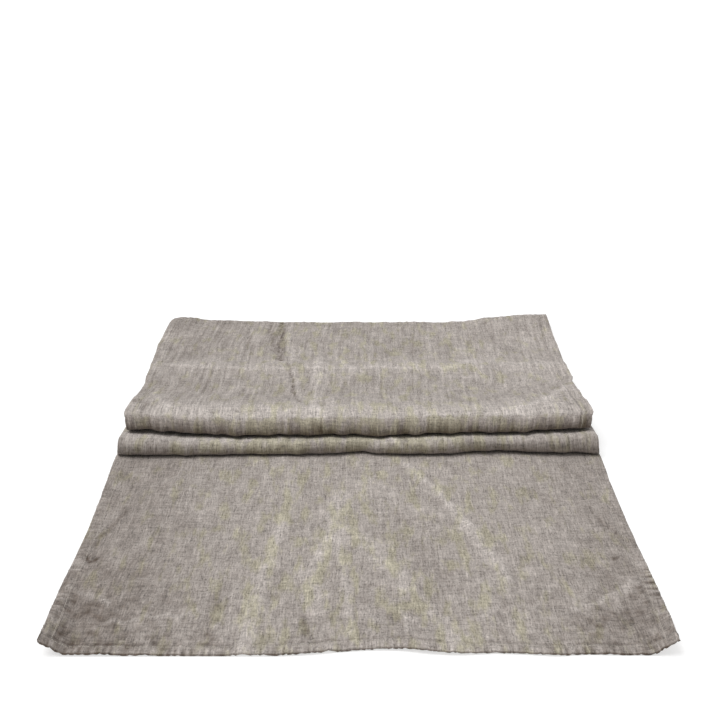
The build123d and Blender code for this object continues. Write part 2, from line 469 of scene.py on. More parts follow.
def wrinkles(u, v):
    """How far the cloth's face stands above the plain laid surface."""
    front, back, rolls = free_cloth(u, v)
    flat_cloth = front + back
    height = CRINKLE_HEIGHT * crinkles(u, v) * (front + 0.5 * back)
    for pattern, layers in ((waves, SWELLINGS), (creases, CREASES)):
        for high, long_u, long_v, seed, on_rolls in layers:
            height += high * pattern(u, v, long_u, long_v, seed) * (flat_cloth + on_rolls * rolls)
    near_u, near_v = strayed(u, v)
    for marks, share in ((FRONT_MARKS, front), (BACK_MARKS, rise(v, UPPER_ROLL + 10, CREST))):
        for route, width, high, _ in marks:
            height += share * high * mark(near_u, near_v, route, width)
    for route, width, high, _ in ROLL_MARKS:
        height += rolls * high * mark(u, v, route, width)
    return height


print(len(SWELLINGS) + len(CREASES) + 1, "sizes of wrinkle")


# %% [markdown]
# ## Hems pull, corners curl
#
# A stitch line is always a little shorter than the cloth beside it, so a hem puckers: small
# ripples run across it from edge to stitches, with small pits just inside them near the front; the
# pits are only painted as shade. The cloth inside the hem is one layer in place of three and sinks
# towards the table. A washed hem curls up at its front corners, and the back left corner has turned
# in. A Displace modifier could raise all this, but rules over the flat cloth can be used again for
# the painted light and shade on the hem.

# %% Puckers and the hem's own form
PUCKER_HEIGHT = 0.45
SIDE_PUCKER, END_PUCKER = 8.5, 6.0  # from one ripple to the next


def edge_distance(u, v):
    """How far a place is from the cloth's nearest edge."""
    return np.minimum(HALF - np.abs(u), np.minimum(v, LENGTH - v))


def hem_wave(u, v):
    """A wave that runs along the hems, uneven in pitch and strength, between about -1 and 1."""
    by_side = HALF - np.abs(u) < np.minimum(v, LENGTH - v)
    run = np.where(by_side, v + 40 * np.sign(u), u + 700)
    pitch = np.where(by_side, SIDE_PUCKER, END_PUCKER)
    phase = 2 * math.pi * run / pitch + 2.6 * waves(run, 0 * run, 19, 19, 17)
    strength = np.clip(0.75 + 0.3 * waves(run, 0 * run, 47, 47, 19), 0.3, 1.3)
    return np.sin(phase) * strength * (1 - 0.3 * rise(v, 120, 200) - 0.6 * rise(v, 280, 330))


def puckers(u, v):
    """Ripples across the hems, strongest at the folded edge."""
    return hem_wave(u, v) * bell(edge_distance(u, v), 0, 10.0)


def painted_stitch_pits(u, v):
    """Painted shade for small pits just inside the stitches, where the hems near the front pull
    hardest.
    """
    inside = bell(edge_distance(u, v), HEM_DEPTH + 2, 2.6)
    beside = np.where(HALF - np.abs(u) < v, 1.0, 0.8)
    return np.clip(hem_wave(u, v), 0, 1) * inside * beside * (1 - rise(v, 85, 125))


def hem_form(u, v):
    """The hem's own section: full at the edge, drawn down at the stitches, and a step inside it."""
    depth = edge_distance(u, v)
    full = 0.25 * bell(depth, 4.5, 3.0)
    drawn = -0.30 * bell(depth, STITCH_INSET, 1.1)
    step = -0.75 * rise(depth, HEM_DEPTH - 0.5, HEM_DEPTH + 5.0)
    return full + drawn + step


print("a ripple each", SIDE_PUCKER, "mm at the sides and", END_PUCKER, "mm at the ends")

# %% Where the edges leave the table
CURL_START = 201.0
CURL_HEIGHT = 11.5
TURNED_CORNER = 26.0  # how far from its tip the back left corner has turned in
TURNED_BY = (5.0, -7.0, -2.0)

front_edge_back = across(
    (-225, -2.5), (-60, -2.5), (-37, -1.2), (-15, 2.5), (6, 5), (28, 5), (50, 0), (71, -1.2),
    (93, 1.2), (115, 0), (136, -2.5), (158, 0), (180, -1.2), (225, -1.2),
)
front_edge_lift = across(
    (-225, 0), (-45, 0.3), (6, 1.4), (28, 1.4), (75, 0.2), (98, 0.7), (120, 0), (225, 0),
)
back_edge_lift = across(
    (-225, 10), (-210, 8), (-190, 4), (-173, 2.4), (-136, 0.3), (100, 0.3), (123, 1.7), (160, 6.7),
    (197, 9.0), (225, 12),
)


def corner_curl(u, v):
    """How high the cloth curls up at its two front corners."""
    out = np.clip((np.abs(u) - CURL_START) / (HALF - CURL_START), 0, 1.1)
    return CURL_HEIGHT * out**1.1 * (1 - rise(v, 5, 95))


def rounded_corner(u, v):
    """How far the back left corner has turned in, from 0 to 1 at its tip."""
    return np.clip(1 - np.hypot(u + HALF, LENGTH - v) / TURNED_CORNER, 0, 1) ** 1.6


def edge_lift(u, v):
    """How far the front and back edges stand off the table."""
    front = np.interp(u, ACROSS, front_edge_lift) * (1 - rise(v, 0, 70))
    return front + np.interp(u, ACROSS, back_edge_lift) * rise(v, LENGTH - 75, LENGTH)


print("front corners curl up", CURL_HEIGHT, "mm")

# %% How far the side edges stand out
# Along the cloth, then the left and the right edge, outwards. The pleats draw the sides in.
SIDES = np.array([
    (0, 0, 0), (80, 0, 0), (128, -1.6, -1.6), (178, -2.5, -2.5), (233, -1.8, -2.7), (275, -0.5, -2.6),
    (295, 0.5, -1.5), (325, 1, -1), (FRONT_PANEL + 30, -1, -2.5), (LOWER_ROLL - 25, -1, -2.5),
    (LOWER_ROLL - 8, -0.3, -1.8), (LOWER_ROLL, -1.8, -3.7), (LOWER_ROLL + 15, -2.6, -4.3),
    (LOWER_ROLL + 60, -4, -6.5), (UPPER_ROLL - 30, -6, -8.5), (UPPER_ROLL - 8, -7.2, -9.9),
    (UPPER_ROLL, -7.5, -9.0), (UPPER_ROLL + 14, -5.0, -6.5), (CREST - 12, -3.2, -4.5),
    (CREST + 20, -2.6, -5.8), (CREST + 45, -2.2, -4.6), (CREST + 70, -2.0, -4.8),
    (CREST + 100, -3.0, -5.0), (CREST + 128, -0.4, -1.0), (CREST + 157, -0.2, -2.1),
    (CREST + 210, 4.5, 1.0), (CREST + 270, 8.9, 2.9), (LENGTH - 10, 2.4, 1.1), (LENGTH, 2.4, 1.1),
])
print("the sides stand out from", SIDES[:, 1:].min(), "to", SIDES[:, 1:].max(), "mm")


# %% The cloth's finished face
STEP = 0.6  # how far apart two places are when a slope is measured
CURL_IN = 0.5  # an edge that curls up draws in by this share
LANDING = 0.2  # how softly the cloth meets the table


def cloth(u, v):
    """The middle of the cloth's top layer, u across and v along the flat cloth."""
    u, v = np.broadcast_arrays(np.asarray(u, float), np.asarray(v, float))
    here = laid(u, v)
    run = laid(u, np.minimum(v + STEP, LENGTH)) - laid(u, np.maximum(v - STEP, 0))
    run = run / np.maximum(np.linalg.norm(run, axis=-1, keepdims=True), 1e-9)
    height = wrinkles(u, v) + PUCKER_HEIGHT * puckers(u, v) + hem_form(u, v)
    y = here[..., 0] - run[..., 1] * height
    z = here[..., 1] + run[..., 0] * height
    curl = corner_curl(u, v)
    to_right = (u + HALF) / WIDTH
    left_out = np.interp(v, SIDES[:, 0], SIDES[:, 1])
    right_out = np.interp(v, SIDES[:, 0], SIDES[:, 2])
    x = u - left_out * (1 - to_right) + right_out * to_right - np.sign(u) * CURL_IN * curl
    y = y + np.interp(u, ACROSS, front_edge_back) * (1 - rise(v, 0, 160))
    turned = rounded_corner(u, v)
    x, y = x + TURNED_BY[0] * turned, y + TURNED_BY[1] * turned
    z = z + curl + edge_lift(u, v) + TURNED_BY[2] * turned
    lowest = np.where(edge_distance(u, v) < HEM_DEPTH + 1, FLAT + 0.1, LAYER)
    z = lowest + 0.5 * ((z - lowest) + np.sqrt((z - lowest) ** 2 + LANDING**2))
    return np.stack([x, y + FRONT_EDGE, z], -1)


def face_of(u, v):
    """Which way the cloth's top face points."""
    reach = 0.5
    over = cloth(np.minimum(u + reach, HALF), v) - cloth(np.maximum(u - reach, -HALF), v)
    ahead = cloth(u, np.minimum(v + reach, LENGTH)) - cloth(u, np.maximum(v - reach, 0))
    face = np.cross(over, ahead)
    return face / np.maximum(np.linalg.norm(face, axis=-1, keepdims=True), 1e-9)


def on_cloth(u, v, lift):
    """A place that stands lift above the middle of the top layer, square to the cloth."""
    u, v, lift = (np.asarray(value, float) for value in (u, v, lift))
    u, v, lift = np.broadcast_arrays(u, v, lift)
    return cloth(u, v) + face_of(u, v) * lift[..., None]


print("crest", on_cloth(0, CREST, LAYER / 2)[2].round(1), "mm up")


# %% [markdown]
# ## Wear, and painted light and shade
#
# Two values are stored on every point of the cloth, and the linen reads them back. The first is
# above 0 where a place is paler and below 0 where it is darker. It holds painted light and shade: a
# painted highlight along the upper roll's brow and on the hump behind it, and painted shade on the
# faces of the rolls, in hollows and pits, under the folded front edge and towards the front corners.
# It also holds cloudy tone and paler folds and crinkles. The second says how far the taupe has gone
# to olive, as it has in the middle and on the faces of the rolls. They are stored on the mesh, and
# not drawn in the material, because they follow the folds.

# %% Tone all over, and a painted highlight along the brow
# Along the brow a highlight is painted, and the fold's edge there is also rubbed paler.
BROW = CREST - 10.0  # the upper roll's brow, where the fold is palest


def random_tone_and_brow_highlight(u, v):
    """Cloudy tone, paler on creases, under a painted highlight along the upper roll's brow."""
    tone = 0.14 * waves(u, v, 20, 45, 23) + 0.08 * waves(u, v, 8, 20, 29)
    tone += 0.30 * (creases(u, v, 34, 90, 11) - 0.3) + 0.20 * (creases(u, v, 16, 42, 13) - 0.3)
    # A painted highlight along the upper roll's brow and down the slope behind it, weaker at the ends.
    brow_highlight = np.where(v < BROW, bell(v, BROW, 3), bell(v, BROW, 34))
    return tone * (1 - 0.75 * brow_highlight) + 0.86 * brow_highlight * (1 - 0.7 * rise(np.abs(u), 185, 215))


def panel_painted_light_and_streaks(u, v):
    """Painted shade towards the front's sides and corners, and a painted highlight over the hidden
    turns.
    """
    front, back, rolls = free_cloth(u, v)
    side = rise(np.abs(u - 13), 90, 225)
    low = 1 - rise(v, 30, 170)
    # Paler along the crinkles.
    tone = (0.34 * front + 0.20 * back) * (crinkles(u, v) - 0.25)
    # Painted shade: darker towards the front's sides, lower corners and left, in broken patches low
    # down.
    tone -= front * (side * (0.56 + 0.38 * low) + 0.10 * low + 0.15 * rise(-u, 80, 190))
    tone -= front * low * (0.22 + 0.20 * side) * np.clip(waves(u, v, 13, 12, 59), -0.5, 1.5)
    # Lengthwise streaks in the yarn.
    tone += (0.36 * back + 0.10 * front + 0.30 * rolls) * waves(u, v, 5, 160, 41)
    # Darker on the back's left, lighter on its right.
    tone += back * (0.16 * rise(u, 60, 220) - 0.36 * rise(-u, 60, 220))
    # A painted highlight on the hump over the hidden turns.
    return tone + back * 0.50 * bell(v, HUMP, 32)


print("palest fold", round(float(BROW)), "mm from the front edge of the cloth")


# %% Paler folds and painted shade on marks, and painted light and shade on hems and rolls
def marked_folds_and_shade(u, v):
    """How much paler the drawn folds are, and darker with painted shade. Pale ones are even, dark ones
    broken.
    """
    front, back, rolls = free_cloth(u, v)
    near_u, near_v = strayed(u, v)
    even, broken = 1 + 0.2 * waves(u, v, 7, 16, 43), 1 + 0.6 * waves(u, v, 6, 7, 47)
    tone = np.zeros_like(u)
    for marks, share in ((FRONT_MARKS, front), (BACK_MARKS, rise(v, UPPER_ROLL, CREST))):
        for route, width, _, pale in marks:
            patchy = even if pale > 0 else broken
            tone += share * pale * patchy * mark(near_u, near_v, route, width)
    for route, width, _, pale in ROLL_MARKS:
        tone += rolls * pale * mark(u, v, route, width)
    return tone


def painted_hem_light_and_shade(u, v):
    """Painted light and shade on the hems: puckers, pits, a shadow inside the front hem, the folded
    edge.
    """
    front, back, rolls = free_cloth(u, v)
    near_side = HALF - np.abs(u) < 20
    pulled = 1 + 1.4 * (1 - rise(v, 100, 180)) * rise(v, 12, 40) * near_side + 1.3 * (v < 12)
    # A painted highlight on the pucker ridges, painted shade in their troughs and in the pits.
    tone = 0.40 * puckers(u, v) * pulled - 1.3 * painted_stitch_pits(u, v)
    # A painted shadow line inside the front hem, where the cloth steps down.
    tone -= 0.35 * front * bell(v, HEM_DEPTH + 1.5, 1.8)
    # Painted shade under the folded front edge.
    tone -= 1.3 * (1 - rise(v, -0.2, 1.3))
    # The curled front corners a little paler, as they face the light.
    return tone + 0.05 * corner_curl(u, v)


def painted_roll_shading(v):
    """Painted shade on the faces of the rolls, and a painted highlight on the top of the lower one."""
    face = rise(v, UPPER_ROLL - 16, UPPER_ROLL - 9) * (1 - rise(v, BROW - 14, BROW - 1))
    # Painted shade on the upper roll's face, darkest at its bottom.
    tone = -face * (0.75 + 1.35 * (1 - rise(v, UPPER_ROLL - 10, BROW - 6)))
    # Painted shade on the lower roll's face.
    under = rise(v, LOWER_ROLL - 14, LOWER_ROLL - 8) * (1 - rise(v, LOWER_ROLL - 2, LOWER_ROLL + 10))
    # A painted highlight on the lower roll's top, lightening the shadow that the upper roll casts.
    return tone - 0.55 * under + 0.85 * bell(v, LOWER_ROLL + 17, 7)


print("the lower roll is palest", round(float(LOWER_ROLL + 17)), "mm along the cloth")

# %% The two stored values
OLIVE_FOLDS = 8  # the first front folds, those in the middle, have gone olive


# Painted light and shade on the rolls, hems, panel and marks, added to tone and wear.
def painted_light_and_wear(u, v):
    """How much paler than the rest a place is, or below 0 how much darker."""
    return random_tone_and_brow_highlight(u, v) + marked_folds_and_shade(u, v) + painted_hem_light_and_shade(u, v) + panel_painted_light_and_streaks(u, v) + painted_roll_shading(v)


def olive(u, v):
    """How far the taupe has gone to olive, from 0 to 1."""
    front, back, rolls = free_cloth(u, v)
    middle = 1 - rise(np.abs(u - 10), 80, 190)
    faces = rolls * (1 - rise(v, BROW - 8, BROW))
    folds = sum(mark(u, v, route, width) for route, width, _, _ in FRONT_MARKS[:OLIVE_FOLDS])
    patches = 0.22 * middle + 0.30 * front * np.clip(folds, 0, 1)
    return np.clip(patches + 0.50 * faces * (0.25 + 0.75 * middle), 0, 1)


# The stored painted light and wear in the middle of the front.
print("rubbed in the middle of the front", painted_light_and_wear(np.zeros(1), np.full(1, 160.0)).round(2))

# %% [markdown]
# ## From points to a mesh
#
# Every piece of cloth here is a grid of points. bmesh could add them one at a time, but numpy
# works out all of them at once and from_pydata takes them as lists. The flat cloth becomes the UV
# map, so the weave follows the yarns through every fold. Rows stand close where the cloth bends.

# %% Mesh from a grid
def grid_mesh(name, points, flat, closed=False):
    """A mesh from rows of points in millimetres. flat holds each point's place on the flat cloth."""
    rows, columns = points.shape[:2]
    index = np.arange(rows * columns).reshape(rows, columns)
    if closed:
        index = np.concatenate([index, index[:, :1]], axis=1)
    corners = [index[:-1, :-1], index[:-1, 1:], index[1:, 1:], index[1:, :-1]]
    faces = np.stack(corners, -1).reshape(-1, 4).tolist()
    if closed:
        faces.append(list(range(columns)))
        faces.append(list(range((rows - 1) * columns, rows * columns))[::-1])
    mesh = bpy.data.meshes.new(name)
    mesh.from_pydata((points.reshape(-1, 3) * MM).tolist(), [], faces)
    mesh.update()
    corner_points = np.empty(len(mesh.loops), int)
    mesh.loops.foreach_get("vertex_index", corner_points)
    flat_map = mesh.uv_layers.new(name="flat_cloth")
    flat_metres = (flat.reshape(-1, 2)[corner_points] * MM).astype(np.float32)
    flat_map.data.foreach_set("uv", flat_metres.ravel())
    for title, rule in (("painted_light_and_wear", painted_light_and_wear), ("olive", olive)):
        value = rule(flat[..., 0], flat[..., 1]).astype(np.float32)
        mesh.attributes.new(title, "FLOAT", "POINT").data.foreach_set("value", value.ravel())
    mesh.shade_smooth()
    return put(name, mesh)


# %% Rows along the cloth
ROW_BEND = 0.9


def spaced_rows(fine, coarse, start, end):
    """Places along the cloth: fine where it shows, finer in the bends, coarse where it is hidden."""
    rows, v = [], start
    while v < end - 0.4 * fine:
        rows.append(v)
        hidden = FRONT_PANEL + 12 < v < LOWER_ROLL - 20 or LOWER_ROLL + 40 < v < UPPER_ROLL - 28
        turning = abs(v - FIRST_TURN) < 8 or abs(v - SECOND_TURN) < 8
        rolling = abs(v - LOWER_ROLL) < 18 or abs(v - UPPER_ROLL) < 22
        v += ROW_BEND if turning or rolling else coarse if hidden else fine
    return np.array(rows + [end])


print("rows", ROW_BEND, "mm apart in the bends")

# %% [markdown]
# ## The linen panel
#
# The panel is the single layer of cloth inside the hems. It is a grid of points over the flat
# cloth, each carried to its laid place, and Blender's Solidify modifier gives it the thickness of
# linen. A grid keeps the rows square to the cloth's length, which makes the pleats clean.

# %% Linen panel
ROW_FINE, ROW_HIDDEN = 2.0, 7.0
COLUMNS = 205
rows = spaced_rows(ROW_FINE, ROW_HIDDEN, HEM_DEPTH, LENGTH - HEM_DEPTH)
columns = np.linspace(-HALF + HEM_DEPTH, HALF - HEM_DEPTH, COLUMNS)
u, v = np.meshgrid(columns, rows)
panel = grid_mesh("linen_panel_cloth", on_cloth(u, v, LAYER / 2), np.stack([u, v], -1))
thick = panel.modifiers.new("cloth thickness", "SOLIDIFY")
thick.thickness = LAYER * MM
thick.offset = -1.0
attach(panel, "root")
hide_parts("linen_panel")
print("panel", len(rows), "rows by", COLUMNS, "columns")


# %% [markdown]
# ## The hems
#
# The edge is turned under twice, so a hem is three layers thick with a soft fold outside and raw
# edge hidden. Modelling the three layers apart would double faces that nobody sees, so one closed
# section of the whole fold is drawn and carried along the edge. The end hems run the full width
# and the side hems meet them, as they do when the long sides are sewn first.

# %% The hem's section
def hem_section():
    """Points round the folded hem: distance from the fold, height, and place on the flat cloth."""
    top, under = LAYER / 2, LAYER / 2 - HEM_THICKNESS
    upper_places = (HEM_DEPTH, 10.2, 9.6, 9.0, 8.4, 7.6, 6.4, 5.0, 3.6, 2.2, 1.1, 0.4)
    upper = [(w, top, -w) for w in upper_places]
    fold = [(0.0, top - 0.35, 0.2), (-0.2, (top + under) / 2, 0.75), (0.0, under + 0.35, 1.3)]
    lower = [(w, under, w + 1.5) for w in (0.4, 2.5, 5.0, 8.0, 10.4)]
    inside = [(HEM_DEPTH, under + 0.3, 12.5), (HEM_DEPTH, top - 0.6, 13.2)]
    return np.array(upper + fold + lower + inside).T


print("the hem's section has", hem_section().shape[1], "points")


# %% Side and end hems
HEM_ROW, HEM_ROW_HIDDEN = 1.3, 5.0
END_HEM_COLUMNS = 347


def side_hem(name, side):
    """A hem along one long edge. side is -1 on the left and 1 on the right."""
    from_fold, lift, flat = hem_section()
    rows = spaced_rows(HEM_ROW, HEM_ROW_HIDDEN, HEM_DEPTH, LENGTH - HEM_DEPTH)
    v, w = np.meshgrid(rows, from_fold, indexing="ij")
    points = on_cloth(side * (HALF - np.maximum(w, 0)), v, lift)
    points[..., 0] += side * np.maximum(-w, 0)
    flat_place = np.stack([side * (HALF + flat + 0 * w), v], -1)
    order = -side  # the section is walked the other way round on the right, so faces point out
    return grid_mesh(name, points[:, ::order], flat_place[:, ::order], closed=True)


def end_hem(name, end):
    """A hem along the front (end -1) or the back (end 1)."""
    from_fold, lift, flat = hem_section()
    columns = np.linspace(-HALF, HALF, END_HEM_COLUMNS)
    u, w = np.meshgrid(columns, from_fold, indexing="ij")
    v = np.maximum(w, 0)
    points = on_cloth(u, v if end < 0 else LENGTH - v, lift)
    points[..., 1] += end * np.maximum(-w, 0)
    flat_v = -flat if end < 0 else LENGTH + flat
    flat_place = np.stack([u, flat_v + 0 * u], -1)
    return grid_mesh(name, points[:, ::end], flat_place[:, ::end], closed=True)


hems = {
    "hem_front": end_hem("hem_front_fold", -1),
    "hem_back": end_hem("hem_back_fold", 1),
    "hem_left": side_hem("hem_left_fold", -1),
    "hem_right": side_hem("hem_right_fold", 1),
}
for node_name, hem in hems.items():
    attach(hem, "root")
    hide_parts(node_name)
print("hems", list(hems))


# %% [markdown]
# ## The stitches
#
# A lockstitch is two threads: the needle thread makes a row of short stitches on the face, and the
# bobbin thread makes the same row underneath. A curve with a bevel would give one smooth string,
# but a stitch dips into the cloth at both ends, so each stitch is its own little six-sided tube.

# %% Stitches
STITCH_SIDES = 6
# Along the stitch, height above the cloth, and thread radius.
STITCH_SHAPE = np.array([
    (0.15, -0.22, 0.10), (0.5, 0.02, 0.17), (1.5, 0.10, 0.18), (2.5, 0.02, 0.17), (2.85, -0.22, 0.10),
])
BOBBIN_SUNK = 0.25  # the bobbin thread is pulled into the underside


def stitches(name, start, end, face):
    """A run of stitches between two places on the flat cloth. face is 1 on top, -1 underneath."""
    start, end = np.array(start, float), np.array(end, float)
    length = np.linalg.norm(end - start)
    way = (end - start) / length
    number = int(length / STITCH_PITCH)
    pitch = length / number
    s = np.arange(number)[:, None] * pitch + STITCH_SHAPE[:, 0] * pitch / STITCH_PITCH
    u, v = start[0] + way[0] * s, start[1] + way[1] * s
    surface = LAYER / 2 if face > 0 else LAYER / 2 - HEM_THICKNESS + BOBBIN_SUNK
    core = on_cloth(u, v, surface + face * STITCH_SHAPE[:, 1])
    up = face_of(u, v)
    aside = np.cross(np.gradient(core, axis=1), up)
    aside = aside / np.linalg.norm(aside, axis=-1, keepdims=True)
    turn = np.arange(STITCH_SIDES) * 2 * math.pi / STITCH_SIDES
    ring = np.cos(turn)[:, None] * aside[:, :, None] + np.sin(turn)[:, None] * up[:, :, None]
    points = core[:, :, None] + ring * STITCH_SHAPE[:, None, 2, None]
    rings = len(STITCH_SHAPE)
    index = np.arange(number * rings * STITCH_SIDES).reshape(number, rings, STITCH_SIDES)
    after = np.roll(index, -1, axis=2)
    sides = np.stack([index[:, :-1], after[:, :-1], after[:, 1:], index[:, 1:]], -1)
    faces = sides.reshape(-1, 4).tolist() + index[:, 0, ::-1].tolist() + index[:, -1].tolist()
    mesh = bpy.data.meshes.new(name)
    mesh.from_pydata((points.reshape(-1, 3) * MM).tolist(), [], faces)
    mesh.shade_smooth()
    return put(name, mesh)


# %% Sew all four sides
corner = HALF - STITCH_INSET
far = LENGTH - STITCH_INSET
runs = {
    "front": ((-corner, STITCH_INSET), (corner, STITCH_INSET)),
    "back": ((corner, far), (-corner, far)),
    "left": ((-corner, far), (-corner, STITCH_INSET)),
    "right": ((corner, STITCH_INSET), (corner, far)),
}
threads = []
for kind, face in (("needle", 1), ("bobbin", -1)):
    for place, (start, end) in runs.items():
        thread = stitches(f"{kind}_stitches_{place}", start, end, face)
        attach(thread, "root")
        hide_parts(f"{kind}_thread_{place}")
        threads.append(thread)
print("stitched runs", len(threads))


# %% [markdown]
# ## Washed linen
#
# The cloth is stonewashed flax linen in plain weave. Flax yarn is uneven, thick and thin by turns,
# so the eye sees short streaks both ways, longer along the warp, with dark pits between the yarns
# and a few pale slubs. Linen has almost no shine and a very faint bloom at the edges. An image
# could hold such a pattern, but noise stretched along each yarn never repeats and needs no file.
# The layers of noise add up to one shade. It picks the colour, which is then tinted, and then made
# paler or darker by stored wear and painted light and shade.

# %% Colour and node helpers
def linear(hex_colour):
    """An sRGB hex colour as a linear colour for a shader."""
    parts = [int(hex_colour[i:i + 2], 16) / 255 for i in (1, 3, 5)]
    return [c / 12.92 if c <= 0.04045 else ((c + 0.055) / 1.055) ** 2.4 for c in parts] + [1.0]


def new_material(name):
    """A material with an empty node tree, and the tree."""
    material = bpy.data.materials.new(name)
    material.use_nodes = True
    material.node_tree.nodes.clear()
    return material, material.node_tree


def add(tree, kind, inputs=None, **settings):
    """One node, kind after ShaderNode. inputs maps an input's name or number to what feeds it."""
    made = tree.nodes.new("ShaderNode" + kind)
    for key, value in settings.items():
        setattr(made, key, value)
    for key, value in (inputs or {}).items():
        if isinstance(value, bpy.types.NodeSocket):
            tree.links.new(value, made.inputs[key])
        else:
            made.inputs[key].default_value = value
    return made


# A Mix node has many sockets: its two colours are inputs 6 and 7, and its colour is output 2.
print("taupe in linear light", [round(part, 3) for part in linear("#6c6661")])

# %% The yarns
# Title, size across and along in mm, how much detail, the noise values it runs between, and what
# it adds to the shade at each. Linen has about 16 yarns to the centimetre, 0.6 mm apart, too fine
# to show, so the yarns here are drawn twice as coarse.
YARNS = [
    ("warp yarns", 1.1, 8.0, 2.0, (0.30, 0.70), (-0.38, 0.38)),
    ("weft yarns", 8.0, 1.7, 2.0, (0.30, 0.70), (-0.30, 0.30)),
    ("warp of mixed thickness", 2.6, 34.0, 2.0, (0.30, 0.70), (-0.25, 0.25)),
    ("weft of mixed thickness", 30.0, 3.6, 2.0, (0.30, 0.70), (-0.22, 0.22)),
    ("pits between yarns", 1.2, 2.4, 2.0, (0.28, 0.50), (-0.70, 0.10)),
    ("pale flecks", 1.4, 2.8, 2.0, (0.50, 0.72), (0.0, 0.50)),
    ("thick warp slubs", 1.7, 18.0, 1.0, (0.60, 0.72), (0.0, 0.40)),
    ("dark warp streaks", 2.0, 22.0, 2.0, (0.28, 0.40), (-0.45, 0.0)),
    ("uneven dye", 16.0, 44.0, 3.0, (0.30, 0.70), (-0.10, 0.10)),
]
SHADE_REACH = 1.3  # the layers add up to about this much either way


def yarn_shade(tree, place):
    """The sum of every yarn layer."""
    shade = 0.0
    for number, (title, size_u, size_v, detail, (low, high), (at_low, at_high)) in enumerate(YARNS):
        stretch = {"Vector": place, "Location": (7.3 * number, 3.1 * number, 0)}
        stretch["Scale"] = (1 / size_u, 1 / size_v, 1)
        spread = add(tree, "Mapping", stretch, label=title)
        grain = {"Vector": spread.outputs[0], "Scale": 1.0, "Detail": detail, "Roughness": 0.6}
        noise = add(tree, "TexNoise", grain, noise_dimensions="2D")
        span = {"Value": noise.outputs["Fac"], "From Min": low, "From Max": high}
        span.update({"To Min": at_low, "To Max": at_high})
        part = add(tree, "MapRange", span)
        shade = add(tree, "Math", {0: shade, 1: part.outputs[0]}, operation="ADD").outputs[0]
    return shade


print(len(YARNS), "yarn layers")

# %% Where taupe turns olive, and where wear and painted light and shade change it
OLIVE_PATCH = (11.0, 38.0)  # size across and along
OLIVE_WEIGHT = 0.30  # how much the stored value counts beside the patchy noise
OLIVE_FROM, OLIVE_TO = 0.57, 0.74
SHADE_AND_WEAR_FROM, SHADE_AND_WEAR_TO = -2.4, 1.6
PAINTED_SHADE_END = (0.26, 0.220, 0.182, 1)  # the darkest end, painted shade in hollows, pits, roll faces and under edges, a warmer brown
# The palest end, for painted highlights, paler folds and rubbed places.
PAINTED_LIGHT_AND_PALE_END = (1.485, 1.53, 1.53, 1)


def olive_tint(tree, place, mauve, olive_green):
    """A tint that turns from mauve to olive in patches."""
    patch_size = (1 / OLIVE_PATCH[0], 1 / OLIVE_PATCH[1], 1)
    patch_place = add(tree, "Mapping", {"Vector": place, "Scale": patch_size}).outputs[0]
    patch_grain = {"Vector": patch_place, "Scale": 1.0, "Detail": 3.0, "Roughness": 0.55}
    patch = add(tree, "TexNoise", patch_grain, noise_dimensions="2D").outputs["Fac"]
    olive_here = add(tree, "Attribute", attribute_name="olive").outputs["Fac"]
    weighed = {0: olive_here, 1: OLIVE_WEIGHT, 2: patch}
    patchy = add(tree, "Math", weighed, operation="MULTIPLY_ADD").outputs[0]
    turned = {"Value": patchy, "From Min": OLIVE_FROM, "From Max": OLIVE_TO}
    hue = add(tree, "MapRange", turned).outputs[0]
    tints = {"Factor": hue, 6: linear(mauve), 7: linear(olive_green)}
    return add(tree, "Mix", tints, data_type="RGBA").outputs[2]


def wear_and_shade_fade(tree):
    """What the colour is multiplied by, from painted shade to painted highlights and paler folds."""
    stored_wear_and_light = add(tree, "Attribute", attribute_name="painted_light_and_wear").outputs["Fac"]
    wear_span = {"Value": stored_wear_and_light, "From Min": SHADE_AND_WEAR_FROM, "From Max": SHADE_AND_WEAR_TO}
    shade_and_wear_here = add(tree, "MapRange", wear_span).outputs[0]
    fade_ends = {"Factor": shade_and_wear_here, 6: PAINTED_SHADE_END, 7: PAINTED_LIGHT_AND_PALE_END}
    return add(tree, "Mix", fade_ends, data_type="RGBA").outputs[2]


# From the painted shade end to the palest end.
print("rubbed linen is", round(PAINTED_LIGHT_AND_PALE_END[1] / PAINTED_SHADE_END[1], 1), "times as bright as unrubbed")

# %% The relief of the weave
WEAVE_PITCH = 1.25  # between crossings, as coarse as the yarns above
WEAVE_RELIEF, YARN_RELIEF = 0.2, 0.55
BUMP_DEPTH = 0.35


def weave_bump(tree, place, shade):
    """The over and under of plain weave, with the unevenness of the yarns on it."""
    crossing = {0: place, "Scale": math.pi / WEAVE_PITCH}
    over = add(tree, "VectorMath", crossing, operation="SCALE").outputs[0]
    weave = WEAVE_RELIEF
    for way in ("X", "Y"):
        axis = add(tree, "SeparateXYZ", {0: over}).outputs[way]
        wave = add(tree, "Math", {0: axis}, operation="SINE").outputs[0]
        weave = add(tree, "Math", {0: weave, 1: wave}, operation="MULTIPLY").outputs[0]
    relief = {0: shade, 1: YARN_RELIEF, 2: weave}
    height = add(tree, "Math", relief, operation="MULTIPLY_ADD").outputs[0]
    raised = {"Strength": 0.55, "Distance": BUMP_DEPTH * MM, "Height": height}
    return add(tree, "Bump", raised).outputs[0]


print("weave", WEAVE_PITCH, "mm, relief", BUMP_DEPTH, "mm")


